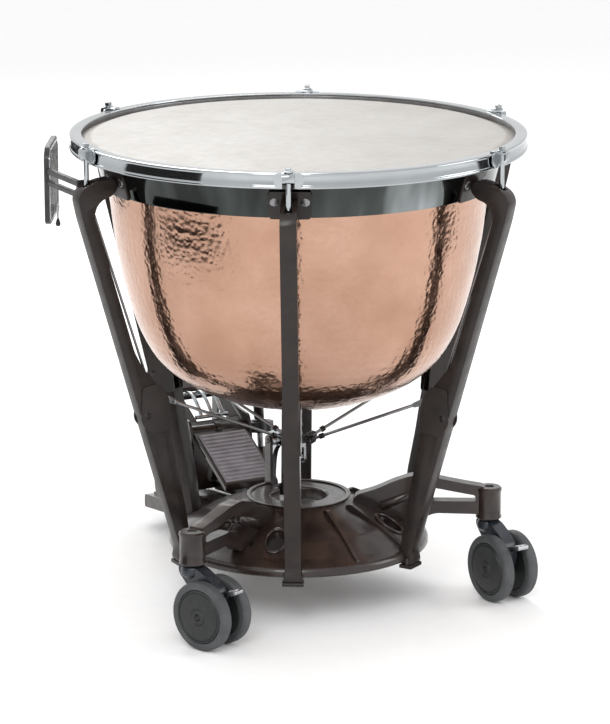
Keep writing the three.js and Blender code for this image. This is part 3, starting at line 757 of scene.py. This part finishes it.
def base():
    profile = filleted([(50, 182), (91, 182), (97, 177), (130, 165), (175, 145.5), (212, 122), (233, 112),
        (236.5, 106), (236.5, 96), (224, 96.5), (205, 111), (165, 131), (120, 149), (80, 157), (50, 157)],
        6, 4)
    dome = turned("base_dome", profile, CASTING, CENTRE, "frame", 144)
    tunnel = slab("tunnel", *ROCKER_SLOT, CASTING, CENTRE, None, 0)
    pockets = [slab(f"pocket_{k}", (220.5, -15.2, 60), (262, 15.2, 128), CASTING, spoke(angle), None, 0)
               for k, angle in enumerate(STRUT_ANGLES)]
    windows = []
    for k, angle in enumerate(WINDOW_ANGLES):
        hole = turned(f"window_{k}", [(0, 90), (17, 90), (17, 200), (0, 200)], CASTING,
            spoke(angle) @ Matrix.Translation((176 * MM, 0, 0)) @ Matrix.Diagonal((1.25, 1, 1, 1)), None,
            40)
        windows.append(hole)
    cut(dome, tunnel, *pockets, *windows)
    # Painted shade: a thin black disc closes each window at the bottom of the dome's wall, a dark sheet
    # standing in for the shade inside the window.
    for k, angle in enumerate(WINDOW_ANGLES):
        shade_disc_profile = [(0, 0), (21, 0), (21, 3), (0, 3)]
        tilt = Matrix.Translation((172 * MM, 0, 131 * MM)) @ Matrix.Rotation(math.radians(31), 4, "Y")
        turned(f"window_shade_disc_{k}", shade_disc_profile, BLACK, spoke(angle) @ tilt @ Matrix.Diagonal((1.4, 1, 1, 1)),
            "frame", 40)
    dome.data.set_sharp_from_angle(angle=math.radians(35))
    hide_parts("base_casting")
    for label, low, high in (("a", 14.3, 19.8), ("b", -19.8, -14.3)):
        side_extruded(f"fulcrum_ear_{label}", link_outline((85, 181), ROCKER_PIVOT, 12, 10.8), low, high,
            CASTING, "frame", bevel=1.6, holes=[circle(ROCKER_PIVOT, 4.3)])
    ring = filleted([(86, 181.5), (94.5, 181.5), (94.5, 184.6), (86, 184.6)], 1)
    hub_ring = turned("hub_ring", ring, CASTING, CENTRE, "frame", 96)
    cut(hub_ring, slab("tunnel", *ROCKER_SLOT, CASTING, CENTRE, None, 0))
    for k, angle in enumerate(STRUT_ANGLES):
        for side in (-1, 1):
            seat = spoke(angle + side * 8)
            hexagon(f"rim_bolt_{k}_{'a' if side < 0 else 'b'}", (226, 0, 111), (227.4, 0, 119), 10,
                DARK_STEEL, seat, "frame")
    for k, angle in enumerate(WINDOW_ANGLES):
        tilt = Matrix.Translation((176 * MM, 0, 145.6 * MM)) @ Matrix.Rotation(math.radians(31), 4, "Y")
        lip = filleted([(16.6, -5), (21.5, -5), (21.5, 1.2), (18.5, 3), (16.6, 1.2)], 1)
        turned(f"window_lip_{k}", lip, CASTING, spoke(angle) @ tilt @ Matrix.Diagonal((1.45, 1, 1, 1)),
            "frame", 56)
    for k, angle in enumerate((-90, -30, 0, 30, 90)):
        seat = spoke(angle)
        rib = filleted([(100, 176), (228, 112), (226, 118), (180, 147), (140, 167), (112, 181)], 5)
        extruded(f"dome_rib_{k}", rib, -3.5, 3.5, CASTING, seat, "frame", 1.5)


def leg(side, angle):
    seat = spoke(angle)
    outline = filleted([(96, 168), (104, 185), (140, 196), (172, 211), (206, 223), (238, 221), (300, 209),
        (334, 203.5), (340, 200), (340, 145), (330, 151), (250, 152.5), (232, 146), (210, 128), (196, 134),
        (168, 147)], 12, 5)
    window = filleted([(196, 172), (206, 190), (224, 201), (246, 200), (300, 190), (322, 186), (322, 175),
        (240, 175), (212, 160)], 7, 4)
    arch = extruded(f"leg_arch_{side}", outline, -12.5, 12.5, CASTING, seat, "frame", 4.5, holes=[window],
        steps=4)
    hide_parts(f"leg_{side}")
    post = [(10.6, 141), (21, 141), (23.4, 143.4), (23.4, 147), (22.2, 149), (22.2, 192), (23.4, 194),
        (23.4, 198), (20.5, 200.8), (9, 200.8), (8.4, 198.6), (0, 198.4), (0, 187), (10.6, 187)]
    turned(f"leg_post_{side}", post, CASTING, seat @ Matrix.Translation((CASTER_RADIUS * MM, 0, 0)),
        "frame", 56)
    hexagon(f"leg_cap_{side}", (346, 0, 198), (346, 0, 201.8), 12, DARK_STEEL, seat, "frame")
    foot = filleted([(-22, 118), (-8, 112), (8, 112), (22, 118), (24, 150), (12, 172), (-12, 172),
        (-24, 150)], 6)
    for label, offset in (("a", -22), ("b", 22)):
        hexagon(f"leg_bolt_{side}_{label}", (186, offset * 0.86, 140), (190, offset * 0.86, 148), 9,
            DARK_STEEL, seat, "frame")
        rod(f"leg_gusset_{side}_{label}", (150, offset * 0.5, 164), (212, offset * 0.28, 190), 9, CASTING,
            seat, "frame", 2)


def caster(side, post_angle, trail):
    turn = math.radians(post_angle - 90)
    at = Matrix.Translation((CASTER_RADIUS * MM * math.cos(turn),
        AXIS_Y + CASTER_RADIUS * MM * math.sin(turn), 0))
    seat = at @ Matrix.Rotation(math.radians(trail - 90), 4, "Z")
    body = f"caster_fork_{side}"
    hood = smooth_closed([(-19, 137), (0, 139.2), (20, 137.5), (36, 130), (54, 119), (66, 108), (71, 94),
        (69, 74), (60, 54), (45, 43), (31, 52), (18, 74), (4, 98), (-12, 116), (-20, 126)])
    shell = extruded(f"caster_hood_{side}", hood, -12.6, 12.6, HOOD, seat, body, 4.5, steps=4)
    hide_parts(body)
    neck = [(0, 118), (15, 118), (20.5, 124), (21, 133), (19, 137.5), (16, 139.3), (9.4, 139.3), (9.4, 182),
        (0, 182)]
    turned(f"caster_neck_{side}", neck, HOOD, seat, body, 48)
    rod(f"caster_axle_{side}", (AXLE_TRAIL, -40, WHEEL_RADIUS), (AXLE_TRAIL, 40, WHEEL_RADIUS), 5.8,
        DARK_STEEL, seat, body, 1.5)
    tyre = filleted([(47.9, 0.2), (57.5, 0.2), (61.2, 3.5), (61.5, 10), (61.2, 18), (57.5, 21.6),
        (50, 21.6), (47.9, 20)], 2.2, 4)
    disc = [(6.3, 0.6), (46.6, 0.6), (47.6, 2), (47.6, 19.6), (46.4, 21), (44.6, 21), (43.8, 19.8),
        (42.6, 19.8), (41.6, 21.2), (30, 22.6), (16, 23.2), (15, 22.3), (13.8, 22.3), (12.8, 23.6), (8, 24),
        (6.3, 23.6)]
    for label, flip in (("a", 1), ("b", -1)):
        wheel = f"caster_wheel_{side}_{label}"
        start = seat @ Matrix.Translation((AXLE_TRAIL * MM, flip * 15.5 * MM,
            WHEEL_RADIUS * MM)) @ Matrix.Rotation(math.radians(-90 * flip), 4, "X")
        band = turned(f"tyre_{side}_{label}", tyre, TYRE, start, wheel, 96, 50)
        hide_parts(wheel)
        turned(f"disc_{side}_{label}", disc, FACE, start, wheel, 72, 30)
    body = f"caster_brake_{side}"
    tab = filleted([(74, 98.5), (84, 99.5), (106, 106.5), (107, 113), (103.5, 114), (80, 107), (74, 105.5)],
        2.5)
    pad = extruded(f"brake_tab_{side}", tab, -11, 11, SATIN, seat, body, 1.4)
    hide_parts(body)
    rod(f"brake_pin_{side}", (78, -12.6, 102), (78, 12.6, 102), 4.4, DARK_STEEL, seat, body, 0.6)
    for k in range(3):
        rod(f"brake_rib_{side}_{k}", (92 + 5 * k, -9, 111 + 1.5 * k), (92 + 5 * k, 9, 111 + 1.5 * k), 1.3,
            SATIN, seat, body, 0.4, 12)


# ---- pedal ------------------------------------------------------------------------------------------
SLOPE = (272 - 147) / (412 - 175)


def plate_line(start, end, low, high):
    return [(y, 147 + (y - 175) * SLOPE + lift) for y,
            lift in ((start, low), (end, low), (end, high), (start, high))]


def pedal():
    body = "pedal"
    sill = side_extruded("footplate_toe", filleted(plate_line(188, 352, -9, 0), 3), -55, 55, CASTING, body,
        bevel=2.2)
    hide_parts("footplate")
    for label, low, high in (("a", 34, 55), ("b", -55, -34)):
        side_extruded(f"footplate_rail_{label}", filleted(plate_line(350, 452, -9, 0), 3), low, high,
            CASTING, body, bevel=2.2)
    side_extruded("footplate_heel", filleted(plate_line(428, 456, -20, 4), 4), -55, 55, CASTING, body,
        bevel=2.4)
    side_extruded("footplate_toe_lip", filleted(plate_line(188, 194, -9, 6), 2), -52, 52, CASTING, body,
        bevel=1.4)
    rod("footplate_shaft", (-66.8, *PEDAL_PIVOT), (66.8, *PEDAL_PIVOT), 5, STEEL, CENTRE, body, 0.8)
    rod("footplate_tube", (-57.8, *PEDAL_PIVOT), (57.8, *PEDAL_PIVOT), 11, CASTING, CENTRE, body, 1.5, 32)
    side_extruded("footplate_lug", link_outline(PEDAL_PIVOT, PEDAL_PIN, 14, 9), -4.9, 4.9, CASTING, body,
        bevel=1.4)
    rod("footplate_lug_pin", (0, *PEDAL_PIN), (13.6, *PEDAL_PIN), 4, STEEL, CENTRE, body, 0.8)
    mat = side_extruded("tread_mat", filleted(plate_line(195, 313, 0.2, 3), 1), -49, 49, TREAD, body,
        bevel=0.9)
    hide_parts("footplate_tread")
    for k in range(13):
        y = 201 + k * 8.8
        ridge = filleted(plate_line(y, y + 4.4, 2.4, 5), 1)
        side_extruded(f"tread_rib_{k}", ridge, -47, 47, TREAD, body, bevel=0.7)
    for label, x in (("a", -22), ("b", 0), ("c", 22)):
        hook = smooth_curve([(x, 356, 248), (x, 368, 262), (x, 386, 275), (x, 404, 281), (x, 418, 279)], 18)
        swept(f"pedal_hook_{label}", hook, 3.4, CHROME, CENTRE, body)
    rod("pedal_cross_bar", (-34, 356, 246), (34, 356, 246), 4.2, CHROME, CENTRE, body, 0.8)
    rod("pedal_heel_bar", (-34, 420, 275), (34, 420, 275), 4.2, CHROME, CENTRE, body, 0.8)


def cradle():
    outline = filleted([(300, 82), (470, 63.3), (479, 90), (474, 298), (458, 303), (430, 263), (352, 251),
        (322, 249), (314, 222)], 9, 4)
    window = filleted([(330, 105), (455, 92), (454, 235), (345, 200)], 12, 4)
    for label, low, high in (("a", 59.5, 64.5), ("b", -64.5, -59.5)):
        side_extruded(f"cradle_side_{label}", outline, low, high, CASTING, "frame", bevel=1.8,
                                   holes=[window, circle(PEDAL_PIVOT, 5.3)])
        side = math.copysign(1, low)
        rod(f"cradle_bush_{label}", (side * 64.5, *PEDAL_PIVOT), (side * 67.5, *PEDAL_PIVOT), 11, SATIN,
            CENTRE, "frame", 1.2)
        for k, (y, z) in enumerate(((316, 92), (455, 76), (466, 230))):
            start, end = (side * 64.5, y, z), (side * 69, y, z)
            hexagon(f"cradle_bolt_{label}_{k}", start, end, 10, DARK_STEEL, CENTRE, "frame")
    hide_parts("pedal_cradle")
    slab("cradle_cross", (-60, 466, 66), (60, 472, 199), CASTING, CENTRE, "frame", 1.8)
    deck_side = filleted([(150, 95.4), (240, 95.4), (252, 86), (525, 56), (525, 30), (252, 64), (150, 70)],
        6, 4)
    deck = side_extruded("deck_plate", deck_side, -64, 64, CASTING, "frame", bevel=2.5)
    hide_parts("pedal_deck")
    for k, x in enumerate((-44, 0, 44)):
        ridge = [(250, 86), (520, 56.3), (520, 59.6), (300, 84), (262, 88.5)]
        side_extruded(f"deck_ridge_{k}", filleted(ridge, 2), x - 2.5, x + 2.5, CASTING, "frame", bevel=0.8)
    sole = filleted([(0, 0), (31, 0), (32, 4), (29, 9), (27, 28), (24, 33), (0, 33)], 2.5, 3, closed=False)
    foot = turned("foot_rubber", sole, BLACK, CENTRE @ Matrix.Translation((0, 470 * MM, 0)), "frame", 64)
    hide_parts("rear_foot")


# ---- fine tuner and gauge ----------------------------------------------------------------------------
TUNER_LOW, TUNER_HIGH = Vector((98, 348, 215)), Vector((102, 418, 760))
TUNER_LENGTH = (TUNER_HIGH - TUNER_LOW).length


def on_tuner(distance):
    return tuple(TUNER_LOW.lerp(TUNER_HIGH, distance / TUNER_LENGTH))


def tuner():
    tube = rod("tuner_pipe", on_tuner(14), on_tuner(TUNER_LENGTH), 9.8, STRUT, CENTRE, "frame", 1.5, 32)
    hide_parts("tuner_tube")
    rod("tuner_stem", on_tuner(-85), on_tuner(-40), 9.8, CASTING, CENTRE, "frame", 2, 32)
    rod("tuner_spindle", on_tuner(-80), on_tuner(18), 5.6, STEEL, CENTRE, "frame", 0.5)
    rod("tuner_arm", (66, 322, 152), on_tuner(-62), 6.8, CASTING, CENTRE, "frame", 1)
    rod("tuner_arm_flange", (64.8, 322, 152), (70, 322, 152), 11, CASTING, CENTRE, "frame", 1.4)
    axis = CENTRE @ toward(tuple(TUNER_LOW), tuple(TUNER_HIGH))
    lobes = []
    for k in range(72):
        turn = 2 * math.pi * k / 72
        radius = 25.6 + 1.3 * math.cos(9 * turn)
        lobes.append((radius * math.cos(turn), radius * math.sin(turn)))
    grip = extruded("handwheel_grip", lobes, -9.5, 9.5, BLACK,
        axis @ Matrix.Rotation(math.radians(90), 4, "X"), "tuner_handwheel", 3.2,
        holes=[circle((0, 0), 6.3)], steps=4)
    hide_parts("tuner_handwheel")
    collar = filleted([(6.3, -12.4), (13, -12.4), (15, -9), (15, 9), (13, 12.4), (6.3, 12.4)], 1.5)
    turned("handwheel_hub", collar, BLACK, axis, "tuner_handwheel", 40)
    top = CENTRE @ toward(on_tuner(TUNER_LENGTH), on_tuner(TUNER_LENGTH + 10))
    hub_profile = filleted([(0, 0.6), (11.5, 0.6), (12, 4), (11, 13), (7, 15.4), (0, 15.6)], 1.4, 3,
        closed=False)
    hub = turned("crank_hub", hub_profile, CHROME, top, "tuner_crank", 40)
    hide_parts("tuner_crank")
    side = (top.inverted().to_3x3() @ Vector((1, 0, 0)))
    side.z = 0
    side.normalize()

    def reach(lift, distance):
        return (side.x * distance, side.y * distance, lift)

    rod("crank_arm", reach(8, 6), reach(8, 56), 4.6, CHROME, top, "tuner_crank", 1.2)
    rod("crank_pin", reach(6, 55), reach(20, 55), 3.8, CHROME, top, "tuner_crank", 0.6)
    ball = [(12.8 * math.sin(math.pi * k / 20), -12.8 * math.cos(math.pi * k / 20)) for k in range(21)]
    ball[0], ball[-1] = (0, ball[0][1]), (0, ball[-1][1])
    turned("crank_ball", ball, BLACK, top @ Matrix.Translation(Vector(reach(30, 55)) * MM), "tuner_crank",
        48, 60)
    ring_axis = CENTRE @ toward(on_tuner(TUNER_LENGTH - 38), on_tuner(TUNER_LENGTH - 20))
    clamp_ring = filleted([(10.2, 0), (16.5, 0), (16.5, 16), (10.2, 16)], 1.6)
    clamp = turned("tuner_clamp", clamp_ring, STRUT, ring_axis, "frame", 40)
    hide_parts("tuner_bracket")
    seat = spoke(150)
    ring_place = seat.inverted() @ CENTRE @ (Vector(on_tuner(TUNER_LENGTH - 30)) * MM)
    start, end = Vector((412, 16, 733)), ring_place / MM
    near_ring = end + (start - end).normalized() * 14
    rod("tuner_bracket_arm", tuple(start), tuple(near_ring), 5.8, STRUT, seat, "frame", 1)
    rod("tuner_bracket_pad", (412, 14.4, 733), (412, 20, 733), 10, STRUT, seat, "frame", 1.4)


def gauge():
    seat, edge_seat = spoke(-120), spoke(-90)
    face_seat = seat @ Matrix.Rotation(math.radians(90), 4, "Z")
    outline = filleted([(-75, 700), (-60, 692), (60, 692), (75, 700), (75, 818), (55, 832), (-55, 832),
        (-75, 818)], 8)
    plate = extruded("gauge_plate", outline, -446, -437.5, BLACK, face_seat, "frame", 1.6)
    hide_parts("tuning_gauge")
    rim = filleted([(-70, 704), (-57, 697), (57, 697), (70, 704), (70, 815), (52, 827), (-52, 827),
        (-70, 815)], 7)
    inner = filleted([(-66, 706), (-55, 700), (55, 700), (66, 706), (66, 813), (50, 823), (-50, 823),
        (-66, 813)], 6)
    extruded("gauge_rim", rim, -437.6, -436.3, SATIN, face_seat, "frame", 0.4, holes=[inner])
    for k in range(13):
        z = 709 + 8.5 * k
        long = 26 if k % 3 == 0 else 15
        slab(f"gauge_tick_{k}", (14, -437.6, z - 0.7), (14 + long, -437.0, z + 0.7), MARKS, face_seat,
            "frame", 0.2)
    for k, (low, high) in enumerate(((786, 796), (766, 775))):
        slab(f"gauge_arm_{k}", (410.5, -163, low), (420.5, -14.6, high), BLACK, edge_seat, "frame", 2)
        slab(f"gauge_arm_pad_{k}", (406, -20, low - 3), (424, -14.5, high + 3), BLACK, edge_seat, "frame",
            1.6)
    body = "gauge_pointer"
    tab = slab("pointer_block", (428.2, -8, 702), (435.6, 8, 716), SATIN, seat, body, 1.6)
    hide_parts("gauge_pointer")
    rod("pointer_wire", (431, 0, 688), (431, 0, 704), 1.3, STEEL, seat, body, 0.2, 12)
    drop = smooth_curve([(0, 676.2), (3, 677.2), (4.5, 681), (3.4, 686), (1.6, 691), (0, 692)], 16)
    drop[0], drop[-1] = (0, 676.2), (0, 692)
    turned("pointer_drop", drop, BLACK, seat @ Matrix.Translation((431 * MM, 0, 0)), body, 24, 60)


kettle()
drumhead()
counterhoop()
shared = {}
for number, strut_angle in enumerate(STRUT_ANGLES, 1):
    strut_pieces(number, strut_angle, shared)
    linkage_pieces(number, strut_angle)
spider()
rocker()
base()
leg("left", -60)
leg("right", 60)
caster("left", -60, 22.6)
caster("right", 60, 5.6)
pedal()
cradle()
tuner()
gauge()


# ---- floor and studio light ------------------------------------------------------------------------------
def card(name, middle, width, height, facing, shade):
    """A reflector beside the drum, out of the camera's view."""
    low, high = -width / 2, width / 2
    corners = [(low, 0, -height / 2), (high, 0, -height / 2), (high, 0, height / 2), (low, 0, height / 2)]
    seat = Matrix.Translation(middle) @ (Vector(facing) - Vector(middle)).to_track_quat("-Y",
        "Z").to_matrix().to_4x4()
    flag = piece(name, corners, [(0, 1, 2, 3)], moulded(name + "_cloth", shade, shade, 0.9, 0.05), seat)
    flag.visible_camera = False
    flag.visible_shadow = False
    flag.visible_diffuse = False


def studio():
    floor = piece("floor", [(-30, -30, 0), (30, -30, 0), (30, 30, 0), (-30, 30, 0)], [(0, 1, 2, 3)],
                  moulded("floor_paper", (0.93, 0.93, 0.93), (0.95, 0.95, 0.95), 0.85, 0.02), Matrix())
    world = bpy.data.worlds.new("studio")
    world.use_nodes = True
    world.node_tree.nodes["Background"].inputs["Color"].default_value = (1, 1, 1, 1)
    world.node_tree.nodes["Background"].inputs["Strength"].default_value = 1.0
    bpy.context.scene.world = world
    bpy.context.scene.view_settings.view_transform = "Standard"
    lamps = (
        ("key", (-2.6, -3.6, 3.4), 2.2, 90),
        ("fill", (3.4, -2.2, 2.0), 1.8, 40),
        ("back", (0.8, 3.4, 3.2), 2.0, 70),
    )
    for name, place, size, power in lamps:
        data = bpy.data.lights.new(name, "AREA")
        data.size = size
        data.energy = power
        lamp = bpy.data.objects.new(name, data)
        lamp.location = place
        lamp.rotation_euler = (Vector((0, AXIS_Y, 0.5)) - Vector(place)).to_track_quat("-Z", "Y").to_euler()
        bpy.context.scene.collection.objects.link(lamp)
    black = (0.012, 0.011, 0.011)
    card("flag_left", (-1.9, 0.05, 0.55), 1.5, 1.1, (0, AXIS_Y, 0.6), black)
    card("flag_right", (1.9, -0.75, 0.8), 0.4, 1.6, (0, AXIS_Y, 0.6), black)


studio()
